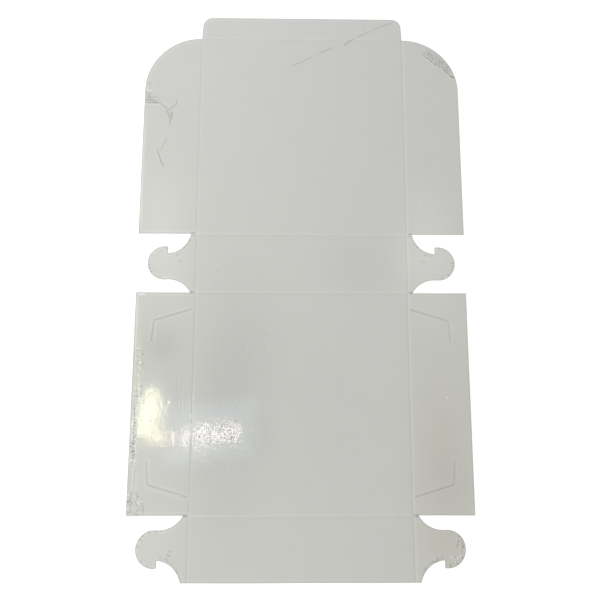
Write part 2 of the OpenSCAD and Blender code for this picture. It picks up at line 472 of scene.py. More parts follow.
wrinkles = [
    # The long wrinkle across the lid and the tuck flap, with its short branch
    wrinkle(0.07, 0.55, -0.30, (-12.1, 248.0), (2.8, 255.5), (11.5, 259.9)),
    wrinkle(0.04, 0.5, -0.10, (10.5, 259.4), (20.8, 264.9)),
    wrinkle(0.07, 0.55, -0.32, (20.0, 264.5), (35.6, 271.6)),
    wrinkle(0.03, 0.5, -0.08, (35.0, 271.3), (48.0, 274.6)),
    wrinkle(0.07, 0.6, -0.38, (47.5, 274.4), (55, 279.8), (62.0, 284.2)),
    wrinkle(0.07, 0.55, -0.32, (62.6, 284.6), (78.0, 292.2)),
    wrinkle(0.05, 0.5, -0.12, (77.0, 291.7), (85.5, 295.9)),
    wrinkle(0.07, 0.55, -0.30, (84.0, 295.2), (91, 298.6), (106.6, 304.2)),
    wrinkle(0.05, 0.45, -0.14, (75.1, 304.6), (71.4, 295.0)),
    # The crumpled left flap of the lid
    wrinkle(0.03, 0.5, 0.40, (-177.6, 217.0), (-174.0, 217.0), (-169.8, 217.0)),
    wrinkle(0.05, 0.5, -0.30, (-176.2, 226.6), (-174.0, 225.0), (-172.0, 226.4)),
    wrinkle(0.03, 0.7, 0.12, (-177.0, 200.6), (-168.0, 200.4), (-160.0, 200.6), (-156.0, 197.6)),
    wrinkle(0.0, 4.5, -0.07, (-178.0, 211.0), (-171.0, 208.0), (-160.0, 203.5)),
    wrinkle(0.08, 0.6, -0.30, (-177.3, 202.3), (-169.3, 202.0), (-160.9, 202.4)),
    wrinkle(0.08, 0.55, -0.38, (-161.5, 202.8), (-156.8, 198.6), (-151.6, 195.1)),
    wrinkle(0.08, 0.55, -0.36, (-153.2, 192.6), (-147.6, 196.4), (-142.6, 200.4), (-142.0, 206.4)),
    wrinkle(0.08, 0.6, -0.40, (-153.6, 194.0), (-149.8, 187.6), (-148.4, 181.9), (-149.0, 175.5)),
    wrinkle(0.06, 0.8, -0.36, (-147.9, 192.8), (-147.0, 187.5), (-146.6, 182.6)),
    wrinkle(0.03, 0.45, 0.26, (-177.2, 186.0), (-177.0, 120.0), (-176.8, 62.0), warmth=0.25),
    wrinkle(0.0, 0.4, -0.20, (-178.1, 186.0), (-178.0, 150.0), (-178.0, 110.0), warmth=0.6),
    wrinkle(0.07, 0.5, -0.26, (-151.0, 162.3), (-154.0, 154.6), (-158.6, 144.6)),
    wrinkle(0.08, 0.6, -0.36, (-162.6, 146.9), (-159.0, 138.7), (-156.7, 132.2), (-152.8, 125.5)),
    wrinkle(0.08, 0.5, 0.12, (-164.6, 146.0), (-161.4, 138.2), (-159.2, 131.6)),
    # The crumpled corner on the lid's right flap: its inner border in painted shade, pale folds as painted
    # highlights, a broad painted shade
    wrinkle(0.08, 0.6, -0.32, (136.5, 263.9), (144.7, 260.1), (151.7, 252.9), (160.7, 247.4)),
    wrinkle(0.08, 0.6, -0.38, (160.7, 247.4), (168.8, 240.3), (170.3, 237.0), (175.3, 236.1)),
    wrinkle(0.05, 0.6, 0.16, (135.8, 262.2), (143.6, 258.3), (150.4, 251.2), (159.5, 245.7)),
    wrinkle(0.05, 0.6, 0.16, (159.5, 245.7), (167.6, 238.6), (169.0, 235.0), (174.6, 234.2)),
    wrinkle(0.05, 0.9, -0.40, (170.5, 237.0), (176.8, 235.2)),
    wrinkle(0.0, 5.0, -0.15, (141.0, 268.0), (152.0, 261.5), (163.5, 251.0), (173.5, 238.5), warmth=0.12),
    wrinkle(0.0, 1.1, 0.05, (178.0, 243.0), (178.3, 205.0), (178.3, 165.0), warmth=1.1),
    wrinkle(0.0, 0.8, -0.06, (177.5, -40.0), (177.6, -150.0), (177.6, -241.0), warmth=0.45),
    wrinkle(0.0, 0.8, 0.10, (176.0, -234.0), (176.4, -241.5), warmth=0.5),
    wrinkle(0.05, 0.8, 0.06, (134.1, 91.9), (131.6, 82.7), (129.1, 74.7)),
    # Bent corner of the left side wall and the tip of the right front hook
    wrinkle(0.12, 0.6, -0.28, (-162.6, -229.5), (-160.9, -234.5), (-160.0, -241.5)),
    wrinkle(0.04, 0.6, 0.20, (-172.3, -188.0), (-172.6, -205.0), (-173.2, -222.0), warmth=0.1),
    wrinkle(0.0, 0.7, -0.10, (-170.9, -190.0), (-171.2, -202.0), (-171.6, -214.0)),
    wrinkle(0.0, 0.5, -0.10, (-175.5, -191.0), (-175.8, -206.0), (-176.2, -224.0)),
    wrinkle(0.0, 2.6, 0.05, (-168.5, -200.0), (-168.8, -211.0), (-169.5, -222.0)),
    wrinkle(0.12, 0.5, -0.2, (160.0, -262.6), (160.2, -266.0), (159.8, -269.5)),
    # The knife cuts at the roots of the hooks, which the card has closed, as dark lines of painted shade
    wrinkle(0.0, 0.9, -0.60, (-121.0, -14.15), (-116.0, -14.15)),
    wrinkle(0.0, 0.9, -0.60, (116.0, -14.15), (121.0, -14.15)),
    wrinkle(0.0, 0.9, -0.60, (-121.0, -243.45), (-116.0, -243.45)),
    wrinkle(0.0, 0.9, -0.60, (116.0, -243.45), (121.0, -243.45)),
    wrinkle(0.0, 1.1, -0.70, (-122.0, 50.15), (-116.0, 50.15)),
    wrinkle(0.0, 1.1, -0.70, (116.0, 50.15), (122.0, 50.15)),
    # Light scratches
    wrinkle(-0.02, 0.35, 0.08, (-75.0, 121.8), (-66.2, 131.1)),
    wrinkle(-0.02, 0.45, 0.07, (-109.2, -37.1), (-88.3, -53.8), (-74.8, -64.6)),
    wrinkle(-0.02, 0.45, 0.10, (-105.3, -107.6), (-92.3, -117.7)),
    wrinkle(-0.02, 0.45, 0.06, (-96.3, -109.4), (-86.9, -119.6)),
    wrinkle(0.05, 0.4, 0.2, (-144.9, -175.6), (-137.7, -175.6)),
    # Upright streaks of painted reflection beside the left crease of the base, and painted highlights on that
    # crease
    wrinkle(0.004, 0.5, -0.08, (-130.4, -104.7), (-129.1, -141.8)),
    wrinkle(0.004, 0.5, 0.06, (-128.4, -100.0), (-127.6, -138.0)),
    wrinkle(0.004, 0.5, -0.07, (-126.7, -104.7), (-125.5, -141.7)),
    wrinkle(0.004, 0.5, 0.05, (-124.6, -108.0), (-123.6, -141.0)),
    wrinkle(0.004, 0.5, -0.06, (-122.6, -107.8), (-121.5, -140.7)),
    wrinkle(0.02, 0.5, 0.08, (-158.3, -188.1), (-158.1, -203.9), (-157.9, -222.6)),
    wrinkle(0.05, 0.9, -0.05, (-133.6, -158), (-133.3, -165), (-133.5, -178)),
    wrinkle(0.03, 0.6, 0.40, (-115.0, -142.2), (-115.0, -146.0)),
    wrinkle(0.0, 0.5, 0.35, (-114.4, -150.0), (-114.4, -174.0)),
    # The left side wall: a pale fold along its edge and a bright corner, both painted highlights
    wrinkle(0.05, 0.6, 0.50, (-176.4, -16.3), (-172.0, -16.3), (-168.0, -16.4)),
    wrinkle(0.05, 0.55, 0.22, (-176.4, -18.0), (-175.9, -55.0), (-175.8, -78.0)),
    wrinkle(0.0, 3.5, 0.05, (-174.0, -20.0), (-173.0, -60.0), (-171.5, -128.0), warmth=0.25),
]
print("single wrinkles", len(wrinkles))

# %% [markdown]
# Where a patch is crumpled, the wrinkles are short and many, and no two are alike. They are drawn at random
# with a fixed seed, so that the sheet comes out the same each time.

# %% Draw short wrinkles at random
SEED = 11
draw = np.random.default_rng(SEED)


def scatter(count, corner_a, corner_b, angle, spread, length, height, tone):
    """Short bent wrinkles between two corners, lying near an angle in degrees."""
    low, high = np.minimum(corner_a, corner_b), np.maximum(corner_a, corner_b)
    for _ in range(count):
        middle = draw.uniform(low, high)
        turn = math.radians(angle + draw.normal(0, spread))
        half = draw.uniform(0.5, 1.0) * length / 2
        way = np.array([math.cos(turn), math.sin(turn)])
        bend = np.array([-way[1], way[0]]) * draw.normal(0, half * 0.15)
        size = height * draw.uniform(0.4, 1.0) * draw.choice([-1, 1])
        shade = tone * draw.uniform(-1.0, 0.7)
        width = draw.uniform(0.4, 0.7)
        line = (middle - way * half, middle + bend, middle + way * half)
        wrinkles.append(wrinkle(size, width, shade, *line))


def scatter_along(points, spacing, inward, length, height, tone, spread=12):
    """Short wrinkles that stand across an edge, a spacing apart, reaching inward from it."""
    line = np.array(points, float)
    steps = np.linalg.norm(np.diff(line, axis=0), axis=1)
    reach = np.concatenate([[0], np.cumsum(steps)])
    place = spacing
    while place < reach[-1]:
        x = np.interp(place, reach, line[:, 0])
        y = np.interp(place, reach, line[:, 1])
        turn = math.radians(math.degrees(math.atan2(inward[1], inward[0])) + draw.normal(0, spread))
        way = np.array([math.cos(turn), math.sin(turn)])
        start = np.array([x, y]) + way * draw.uniform(0.0, 0.8)
        size = height * draw.uniform(0.5, 1.0)
        reach_in = length * draw.uniform(0.5, 1.0)
        shade = tone * draw.uniform(0.5, 1)
        wrinkles.append(wrinkle(size, draw.uniform(0.6, 0.85), shade, start, start + way * reach_in))
        place += spacing * draw.uniform(0.75, 1.25)


print("seed of the scatter", SEED)

# %% Scatter them over the crumpled patches and the puckered edge
# The wedge and the rounded edge of the lid's left flap
scatter(16, (-176, 203.5), (-163, 212), -8, 14, 7, 0.05, 0.24)
scatter(14, (-177.5, 215), (-168, 226), -50, 25, 6, 0.05, 0.20)
# The free edge of the left side wall and its bent front corner
scatter(30, (-176.8, -190), (-171.5, -164), 50, 40, 3.6, 0.10, 0.52)
scatter(64, (-177.2, -242), (-165.5, -221), 55, 45, 3.6, 0.12, 0.46)
scatter(14, (-177.8, -240), (-162, -224), 60, 50, 7, 0.12, 0.24)
# The head of the right front hook
scatter(40, (157.5, -285), (166.5, -262), 70, 40, 5, 0.12, 0.34)
scatter(16, (152, -292), (163, -283), 40, 40, 4, 0.10, 0.26)
# Fine painted glints where the gloss of the base catches the lamp
scatter(90, (-118, -171.5), (-68, -154.5), 0, 60, 2.4, 0.05, 0.16)
# Puckers across the edge of the left side wall, dense at its back half and single ones further on
scatter(46, (-175.5, -74), (-166, -128), -50, 22, 3.4, 0.10, 0.34)
scatter_along([(-172.6, -70), (-172.0, -130)], 3.3, (1, -1), 4.2, 0.14, 0.45, 14)
scatter_along([(-172.8, -71.6), (-172.2, -131.6)], 3.3, (1, -1), 4.0, 0.10, -0.32, 14)
scatter_along([(-174.7, -131), (-174.8, -196)], 3.5, (1, 0.25), 1.7, 0.16, -0.85, 14)
scatter_along([(-172.4, -129), (-172.5, -196)], 3.5, (1, 0.35), 2.2, 0.12, 0.42, 20)
print("wrinkles with the patches", len(wrinkles))

# %% [markdown]
# The two rounded corners of the lid are crumpled in ways of their own. On the left flap fine level folds form
# a wedge. On the right flap a band along the rounded edge is creased all over, out to a ragged border. A
# random scatter alone would blur both, so each follows its own outline.

# %% Crumple the flaps of the lid
WEDGE_FOLDS = 7
WEDGE_TOP = 215.3
WEDGE_STEP = 2.05
CORNER_MARKS = 76
CORNER_BAND = 9.0

# The wedge on the left flap, longer towards its lower side
for row in range(WEDGE_FOLDS):
    y = WEDGE_TOP - WEDGE_STEP * row
    x_end = -171.5 + 1.5 * row + draw.uniform(-1.5, 1.5)
    fold = [(-178.2, y + draw.normal(0, 0.25)), (-174.0, y + draw.normal(0, 0.25)), (x_end, y - 0.5)]
    wrinkles.append(wrinkle(0.05, 0.5, draw.uniform(-0.36, -0.22), *fold))
    wrinkles.append(wrinkle(0.02, 0.4, 0.13, *[(x, place_y - 1.0) for x, place_y in fold]))

# The corner of the lid's right flap, between its rounded edge and the border listed above
border = np.array([
    (136.5, 263.9), (144.7, 260.1), (151.7, 252.9),
    (160.7, 247.4), (168.8, 240.3), (175.3, 236.1),
])
scatter_along(border, 2.0, (-0.6, -0.8), 2.0, 0.05, 0.20, 45)
scatter_along(border, 3.1, (-0.6, -0.8), 2.6, 0.05, -0.22, 45)
for share in np.linspace(0.03, 0.97, CORNER_MARKS):
    at = share * (len(border) - 1)
    step = min(int(at), len(border) - 2)
    point = border[step] + (border[step + 1] - border[step]) * (at - step)
    out = draw.uniform(0.5, CORNER_BAND)
    centre = point + np.array([0.62, 0.78]) * out
    scatter(1, centre - 0.8, centre + 0.8, -40, 60, 2.8, 0.08, 0.34)
print("wrinkles with the lid's flaps", len(wrinkles))

# %% [markdown]
# The four hooks have been pushed and pulled at most. Short puckers stand all round their heads and throats,
# square to the cut edge. The hooks mirror one another, so one loop serves all four.

# %% Pucker the hooks
HOOK_MIDDLE_X = 148.6
HOOK_RIM = 18.0
THROAT = [(145.0, 41.5), (137.5, 43.2), (130.5, 47.5), (125.0, 54.0), (121.8, 61.0)]

for side in (-1, 1):
    for middle_y, up in ((18.1, 1), (-275.6, -1)):
        for turn in np.radians(np.arange(-100, 180, 13)):
            centre = np.array([side * HOOK_MIDDLE_X, middle_y])
            way = np.array([side * math.cos(turn), up * math.sin(turn)])
            rim = centre + way * HOOK_RIM
            size = 0.07 * draw.uniform(0.3, 1)
            # A pucker's tone is painted shade and highlight
            shade = draw.uniform(-0.50, 0.26)
            wrinkles.append(wrinkle(size, 0.6, shade, rim, rim - way * draw.uniform(1.8, 4.2)))
    # The throats, from the corner behind the tip to the free edge of the wall
    for low_y, up in ((-13.95, 1), (-243.65, -1)):
        places = [(side * x, low_y + up * y) for x, y in THROAT]
        scatter_along(places, 2.6, (-0.3 * side, -0.95 * up), 3.4, 0.07, -0.26, 20)
print("wrinkles in all", len(wrinkles))

# %% [markdown]
# ## Flecks
#
# Dust and small bubbles in the gloss show as single dots. The smallest are left to the material, which
# scatters them. The larger ones are few enough to be known one by one, so each has a place, a radius and a
# tone: below zero a dark speck, above it a pale bubble.

# %% List the flecks
flecks = [
    (-82.7, -154.9, 0.75, -0.55), (-68.3, -149.8, 0.85, -0.55), (-65.5, -130.7, 0.6, -0.4),
    (-85.2, -134.5, 0.6, -0.4), (-105.7, -164.4, 0.7, -0.45), (-72.7, -167.0, 0.75, -0.5),
    (-81.7, -172.5, 0.7, -0.4), (-128.3, -174.7, 0.7, -0.45), (-156.9, -149.9, 0.7, -0.5),
    (-154.8, -166.2, 0.7, -0.45), (-17.2, 108.2, 0.6, -0.4), (-131.5, 68.0, 0.6, -0.4),
    (-91.5, 9.8, 0.7, -0.5), (97.3, -244.2, 0.6, -0.4), (83.7, -262.6, 0.6, -0.35),
    (-33.1, -54.0, 0.9, 0.25), (-57.8, -75.3, 0.9, 0.25), (-34.4, -73.7, 0.9, 0.25),
    (153.9, -125.0, 1.0, 0.4), (-173.6, 217.1, 0.8, 0.2), (-137.5, -130.2, 1.1, 0.3),
    (-114.5, -146.6, 0.7, 0.4),
]
print("flecks", len(flecks))

# %% [markdown]
# ## Broad painted light and shade
#
# Broad soft patches of painted light and shade, some of them tinted, make the sheet lighter or darker where
# the lamps fall more or less on it and where each panel tilts a little. A large noise texture gives such
# patches too, but not at places of one's own choice. So each is a soft oval with a place, a reach along X and
# Y, a tone and a warmth.

# %% List the broad patches of painted light and shade
painted_light_patches = [
    (-80, -130, 42, 110, -0.145, 0.0), (20, -130, 60, 110, -0.04, 0.0), (148, -175, 34, 88, -0.085, 0.28),
    (145, -275, 30, 35, -0.045, 0.20), (-150, -72, 24, 26, -0.12, 0.0), (-150, 20, 28, 28, 0.07, 0.0),
    (145, 20, 30, 30, 0.09, 0.0), (-155, 72, 28, 48, 0.08, 0.0), (140, 68, 28, 40, 0.07, 0.0),
    (-150, -275, 30, 30, 0.05, 0.0), (0, 297, 110, 16, 0.03, -0.10), (60, 15, 32, 30, -0.05, 0.0),
    (-55, -165, 26, 22, -0.05, 0.0), (-137, -135, 14, 38, -0.06, 0.0), (-45, -70, 35, 60, -0.03, 0.0),
    (120, 22, 20, 30, 0.05, 0.0), (142, -32, 22, 24, 0.04, 0.0), (152, -215, 32, 32, -0.045, 0.0),
]
print("painted_light_patches", len(painted_light_patches))

# %% [markdown]
# ## The lie of the sheet
#
# A large sheet of card never lies dead flat. It bows by a few tenths of a millimetre between the creases and
# the gloss shows it. The height of the top face is one function of place, so neighbouring panels and strips
# agree wherever they meet. It is made of a gentle bow, the grooves, the rim that the knife has crushed, the
# wrinkles and the flecks.

# %% Bow of the sheet
# Height of the bow, how far from a crease it is full, and the size of its waves, in millimetres
BOW_HEIGHT = 0.35
BOW_REACH = 30
BOW_WAVE = 150


def ripples(points, size, count, seed):
    """A smooth uneven field with a spread of about one: a sum of sine waves in random directions."""
    waves = np.random.default_rng(seed)
    turn = waves.uniform(0, 2 * math.pi, count)
    phase = waves.uniform(0, 2 * math.pi, count)
    wave = 2 * math.pi / (size * waves.uniform(0.7, 1.5, count))
    total = np.zeros(len(points))
    for t, p, w in zip(turn, phase, wave):
        total += np.sin((points[:, 0] * math.cos(t) + points[:, 1] * math.sin(t)) * w + p)
    return total / math.sqrt(count / 2)


def bow(points):
    """How far the sheet stands off the table, which is nothing along the creases."""
    from_crease, _, _ = to_segments(points, crease_starts, crease_ends)
    rise = 1 - np.exp(-(from_crease / BOW_REACH) ** 2)
    wide = 0.5 + 0.5 * np.tanh(ripples(points, BOW_WAVE, count=14, seed=3))
    return BOW_HEIGHT * rise * wide


print("bow at the middle of the base", round(float(bow(base_middle)[0]), 2), "mm")

# %% Grooves of the creases
GROOVE_DEPTH = 0.13
GROOVE_REACH = 1.0


def groove(points):
    """Depth of the creases' grooves."""
    from_crease, _, _ = to_segments(points, crease_starts, crease_ends, GROOVE_REACH)
    share = from_crease / GROOVE_REACH
    return GROOVE_DEPTH * (0.5 + 0.5 * np.cos(math.pi * share))


CUT_REACH = 5.0


def cut_distance(points):
    """Distance to the nearest cut edge."""
    return to_segments(points, cut_starts, cut_ends, CUT_REACH)[0]


print("groove on a crease", groove(crease_starts[:1])[0], "mm")

# %% [markdown]
# The lamps shade a groove and a cut rim only faintly from straight above, while on the real sheet a crease
# and a cut show as thin dark and pale lines, where they turn from the light and towards it. So these lines
# are painted shade and painted highlight. They could be drawn into an image, but they follow the creases and
# cuts, so their tone is worked out from the distance to them.

# %% Painted shade and highlight beside creases and cuts
# Each painted line has a tone, a distance from the crease and a width
LEVEL_CREASE = ((-0.055, -1.3, 0.6), (0.065, 0.5, 0.7))
LEFT_CREASE = ((-0.085, -0.2, 0.6), (0.045, 1.35, 0.55))
RIGHT_CREASE = ((-0.085, -0.2, 0.6), (0.13, 1.35, 0.55))
# Beyond this X a slit runs along the edge of its wall, where its painted shade is fainter
SLIT_ARM_X = 156.5


def bell(distance, middle, width):
    """A smooth bump of height one."""
    return np.exp(-((distance - middle) / width) ** 2)


def crease_painted_light(points):
    """Painted shade and highlight on each crease: a dark line with a pale one on its right or above it, where
    it faces the light.
    """
    tone = np.zeros(len(points))
    for crease, start, end in zip(creases, crease_starts, crease_ends):
        across, along = (1, 0) if crease["runs_along_x"] else (0, 1)
        off = points[:, across] - start[across]
        low, high = sorted((start[along], end[along]))
        on = (np.abs(off) < 3) & (points[:, along] > low - 0.5) & (points[:, along] < high + 0.5)
        lines = RIGHT_CREASE if start[0] > 0 else LEFT_CREASE
        if crease["runs_along_x"]:
            lines = LEVEL_CREASE
        tone[on] += sum(line_tone * bell(off[on], middle, width) for line_tone, middle, width in lines)
    return tone


def edge_painted_light(points, to_cut):
    """Painted shade at a cut edge's rim and a painted highlight inside it, stronger to the left. A slit is a
    line of painted shade with a painted highlight on its right.
    """
    side = np.clip(-points[:, 0] / 170, -1, 1)
    tone = -0.15 * bell(to_cut, 0, 0.9) + (0.055 + 0.04 * side) * bell(to_cut, 2.5, 0.9)
    to_slit = to_segments(points, slit_starts, slit_ends, 3)[0]
    beside = to_segments(points - np.array([1.4, 0]), slit_starts, slit_ends, 3)[0]
    near_slit = bell(to_slit, 0, 2.2)
    dark = np.where(np.abs(points[:, 0]) > SLIT_ARM_X, 0.15, 0.30)
    return tone * (1 - near_slit) - dark * bell(to_slit, 0, 0.45) + 0.06 * bell(beside, 0, 0.5)


def painted_light_tone(points):
    """Tone and warmth of the broad patches of painted light and shade."""
    tone, warmth = np.zeros(len(points)), np.zeros(len(points))
    for x, y, reach_x, reach_y, shade, warm in painted_light_patches:
        patch = np.exp(-((points[:, 0] - x) / reach_x) ** 2 - ((points[:, 1] - y) / reach_y) ** 2)
        tone += shade * patch
        warmth += warm * patch
    return tone, warmth


print("tone on a crease", round(float(crease_painted_light(crease_starts[:1])[0]), 3))

# %% [markdown]
# A wrinkle is highest along its line, falls off like a bell to both sides and fades at its ends. Sculpting
# would shape it by hand. Here every listed line adds its own bell to the height, the tone and the warmth, and
# the sum is kept within limits where many of them cross.

# %% Relief and tone of the wrinkles and flecks
FLECK_RISE = 0.04
LOWEST_WEAR, HIGHEST_WEAR = -0.2, 0.25
MOST_TONE = 0.7


def wear(points):
    """Height that the wrinkles and flecks add, with their tone and warmth: painted shade and highlight along
    the wrinkles, the flecks' own dots.
    """
    rise = np.zeros(len(points))
    tone = np.zeros(len(points))
    warmth = np.zeros(len(points))
    for mark in wrinkles:
        line, width = mark["line"], mark["width"]
        margin = 3.5 * width
        near = ((points > line.min(0) - margin) & (points < line.max(0) + margin)).all(1)
        if not near.any():
            continue
        away, step, share = to_segments(points[near], line[:-1], line[1:], margin)
        along = (step + share) / (len(line) - 1)
        fade = np.clip(along * 6, 0, 1) * np.clip((1 - along) * 6, 0, 1)
        fade[away >= margin] = 0
        strength = bell(away, 0, width) * np.sqrt(fade)
        rise[near] += mark["height"] * strength
        tone[near] += mark["tone"] * strength
        warmth[near] += mark["warmth"] * strength
    for x, y, radius, shade in flecks:
        away = np.hypot(points[:, 0] - x, points[:, 1] - y)
        dot = np.clip(1.25 - away / radius, 0, 1)
        rise += FLECK_RISE * dot
        tone += shade * dot
    return np.clip(rise, LOWEST_WEAR, HIGHEST_WEAR), np.clip(tone, -MOST_TONE, MOST_TONE), warmth


print("wear at the middle of the base", [float(value[0]) for value in wear(base_middle)])

# %% [markdown]
# In the closed box the hooks lie between the side walls and the lid's flaps, with a tenth of a millimetre
# between the layers. A wrinkle there may not stand as high as elsewhere, or it would cut through the next
# layer. A hard limit would flatten its top, so a soft one holds it down.

# %% Height and tone of the top face
CARD_T = 0.4
RIM_DROP = 0.07
RIM_REACH = 0.3
LAYER_ROOM = 0.08
# The hooks and the lid's flaps lie beyond this X, and behind or in front of these Y
FOLDED_X = 114.5
FOLDED_BACK_Y = -14.15
FOLDED_FRONT_Y = -243.45


def held_down(points, rise):
    """A rise kept below the gap between layers, on the hooks and lid flaps that fold outside the walls."""
    x, y = points.T
    beside = (np.abs(x) > FOLDED_X) & ((y > FOLDED_BACK_Y) | (y < FOLDED_FRONT_Y))
    return np.where(beside & (rise > 0), LAYER_ROOM * np.tanh(rise / LAYER_ROOM), rise)


def heights(points):
    """Top and bottom height in millimetres, tone and warmth with the painted light and shade, and how far it
    is pressed.
    """
    lift = bow(points)
    to_cut = cut_distance(points)
    drop = RIM_DROP * np.clip(1 - to_cut / RIM_REACH, 0, 1) ** 2
    rise, tone, warmth = wear(points)
    shade, painted_light_warmth = painted_light_tone(points)
    pressed = groove(points)
    top = CARD_T + held_down(points, lift + rise) - pressed - drop
    lift = held_down(points, lift)
    # The tone adds the painted light and shade of the patches, creases and edges to the wrinkles' and flecks'
    # marks
    tone = tone + shade + crease_painted_light(points) + edge_painted_light(points, to_cut)
    return top, lift, tone, warmth + painted_light_warmth, pressed / GROOVE_DEPTH


print("top of the sheet at the middle of the base", round(float(heights(base_middle)[0][0]), 2), "mm")


# %% [markdown]
# ## One panel
#
# A panel is a thin closed skin: a top, a bottom, and a wall round its cut edges. The top is a web of
# triangles through chosen points: the outline, a few rows that follow the edges and grooves closely, and an
# even spread of points elsewhere. A Delaunay triangulation joins them, and the holes are then left out.

# %% Rows of points along the edges
# Distances of the rows from a cut edge and from a seam, and those rows that stand between the others' points
CUT_ROWS = (0.15, 0.32, 0.7, 1.3, 2.0, 2.8)
SEAM_ROWS = (0.2, 0.4, 0.6, 1.0, 1.5)
BETWEEN = (0.32, 1.3, 0.4, 1.0)


def even_points(low, high, step):
    """A spread of points in staggered rows."""
    rows = np.arange(low[1], high[1], step * 0.866)
    points = []
    for number, y in enumerate(rows):
        xs = np.arange(low[0] + step * 0.5 * (number % 2), high[0], step)
        points.append(np.column_stack([xs, np.full(len(xs), y)]))
    return np.concatenate(points)


def edge_rows(loops, cuts):
    """Rows of points just inside the edges, closer together where the surface turns most."""
    starts = np.concatenate(loops)
    ends = np.concatenate([np.roll(loop, -1, 0) for loop in loops])
    is_cut = np.concatenate(cuts)
    found = []
    for kind, gaps in ((True, CUT_ROWS), (False, SEAM_ROWS)):
        a, b = starts[is_cut == kind], ends[is_cut == kind]
        if not len(a):
            continue
        way = b - a
        way /= np.linalg.norm(way, axis=1)[:, None]
        inward = np.column_stack([-way[:, 1], way[:, 0]])
        for gap in gaps:
            row = (a + b) / 2 + inward * gap if gap in BETWEEN else a + inward * gap
            from_edge, _, _ = to_segments(row, starts, ends, 3)
            found.append(row[from_edge > gap * 0.9])
    return np.concatenate(found)


print("points in the rows of the base", len(edge_rows(*rings["base_panel"])))

# %% Join the points into a web
EVEN_STEP = 2.4
FINE_STEP = 0.45
FINE_REACH = 1.3
# The spreads stay this far from the edges, where the rows are
EVEN_CLEAR = 3.4
FINE_CLEAR = 0.55


def triangles(loops, extra):
    """Places and triangles of a web through the loops and the extra points, without the holes."""
    edges, coords, first = [], [], 0
    for loop in loops:
        coords += [Vector(point) for point in loop]
        edges += [(first + i, first + (i + 1) % len(loop)) for i in range(len(loop))]
        first += len(loop)
    coords += [Vector(point) for point in extra]
    places, _, faces, _, _, _ = geometry.delaunay_2d_cdt(coords, edges, [], 0, 1e-4)
    places = np.array([tuple(place) for place in places])
    faces = np.array([tuple(face) for face in faces])
    middles = places[faces].mean(1)
    return places, faces[inside(middles, loops)]


def near_wear(points):
    """Distance to the nearest wrinkle or fleck."""
    starts = np.concatenate([mark["line"][:-1] for mark in wrinkles] + [np.array(flecks)[:, :2]])
    ends = np.concatenate([mark["line"][1:] for mark in wrinkles] + [np.array(flecks)[:, :2]])
    return to_segments(points, starts, ends, FINE_REACH)[0]


def panel_web(node):
    """The web of one panel: rows along its edges, a fine spread where it is worn, an even one elsewhere."""
    loops, cuts = rings[node]
    starts = np.concatenate(loops)
    ends = np.concatenate([np.roll(loop, -1, 0) for loop in loops])
    low, high = starts.min(0), starts.max(0)
    spread = even_points(low, high, EVEN_STEP)
    spread = spread[inside(spread, loops)]
    spread = spread[to_segments(spread, starts, ends, 4)[0] > EVEN_CLEAR]
    fine = even_points(low, high, FINE_STEP)
    fine = fine[near_wear(fine) < FINE_REACH]
    if len(fine):
        fine = fine[inside(fine, loops)]
        fine = fine[to_segments(fine, starts, ends, 2.5)[0] > FINE_CLEAR]
        spread = spread[near_wear(spread) >= FINE_REACH]
    return triangles(loops, np.concatenate([edge_rows(loops, cuts), spread, fine]))


webs = {node: panel_web(node) for node in outlines}
print("top triangles", sum(len(faces) for _, faces in webs.values()))

# %% [markdown]
# Card has a thickness, and its cut edge shows. A Solidify modifier could add it, but the seams must stay open
# and exact for the strips. So the web is doubled here: the lower copy is turned over and the rims are joined
# by walls. The tone, the warmth and the pressed grooves are stored at each point, for the material to read.

# %% Turn a web into a closed skin
SHARP_ANGLE = math.radians(35)


def rim_edges(faces):
    """Edges that only one triangle uses, with the panel on their left."""
    edges = set()
    for a, b, c in faces.tolist():
        for pair in ((a, b), (b, c), (c, a)):
            if pair[::-1] in edges:
                edges.remove(pair[::-1])
            else:
                edges.add(pair)
    return sorted(edges)


def add_attribute(mesh, name, kind, values):
    """Stores one value for each point of the mesh, for the material to read."""
    attribute = mesh.attributes.new(name, kind, "POINT")
    field = "vector" if kind == "FLOAT_VECTOR" else "value"
    attribute.data.foreach_set(field, np.asarray(values, np.float32).ravel())


def skin(name, places, faces):
    """A closed mesh with a top, a bottom and walls, named and linked to the scene."""
    top, bottom, tone, warmth, pressed = heights(places)
    count = len(places)
    points = np.concatenate([np.column_stack([places, top]), np.column_stack([places, bottom])]) * MM
    polygons = faces.tolist()
    polygons += (faces[:, ::-1] + count).tolist()
    polygons += [(a, a + count, b + count, b) for a, b in rim_edges(faces)]
    mesh = bpy.data.meshes.new(name)
    mesh.from_pydata(points.tolist(), [], polygons)
    mesh.shade_smooth()
    mesh.set_sharp_from_angle(angle=SHARP_ANGLE)
    add_attribute(mesh, "sheet_place", "FLOAT_VECTOR", points)
    # The stored tone and warmth carry wear together with painted light and shade
    for title, values in (("wear_and_painted_light_tone", tone), ("wear_and_painted_light_warmth", warmth), ("pressed", pressed)):
        add_attribute(mesh, title, "FLOAT", np.concatenate([values, np.zeros(count)]))
    walls = len(polygons) - 2 * len(faces)
    indices = np.concatenate([np.zeros(len(faces)), np.ones(len(faces)), np.full(walls, 2)]).astype(np.int32)
    mesh.polygons.foreach_set("material_index", indices)
    piece = bpy.data.objects.new(name, mesh)
    bpy.context.scene.collection.objects.link(piece)
    return piece


print("rim edges of the base", len(rim_edges(webs["base_panel"][1])))

# %% Make the panels
panels = {}
for node, (places, faces) in webs.items():
    piece = skin(node + "_card", places, faces)
    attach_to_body(piece, panel_body[node])
    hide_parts(node)
    panels[node] = piece
print("panel triangles", sum(len(piece.data.polygons) for piece in panels.values()))

# %% [markdown]
# ## The bending strips
#
# Each crease gets a strip with rows of points along it, from the seam on one side to the seam on the other.

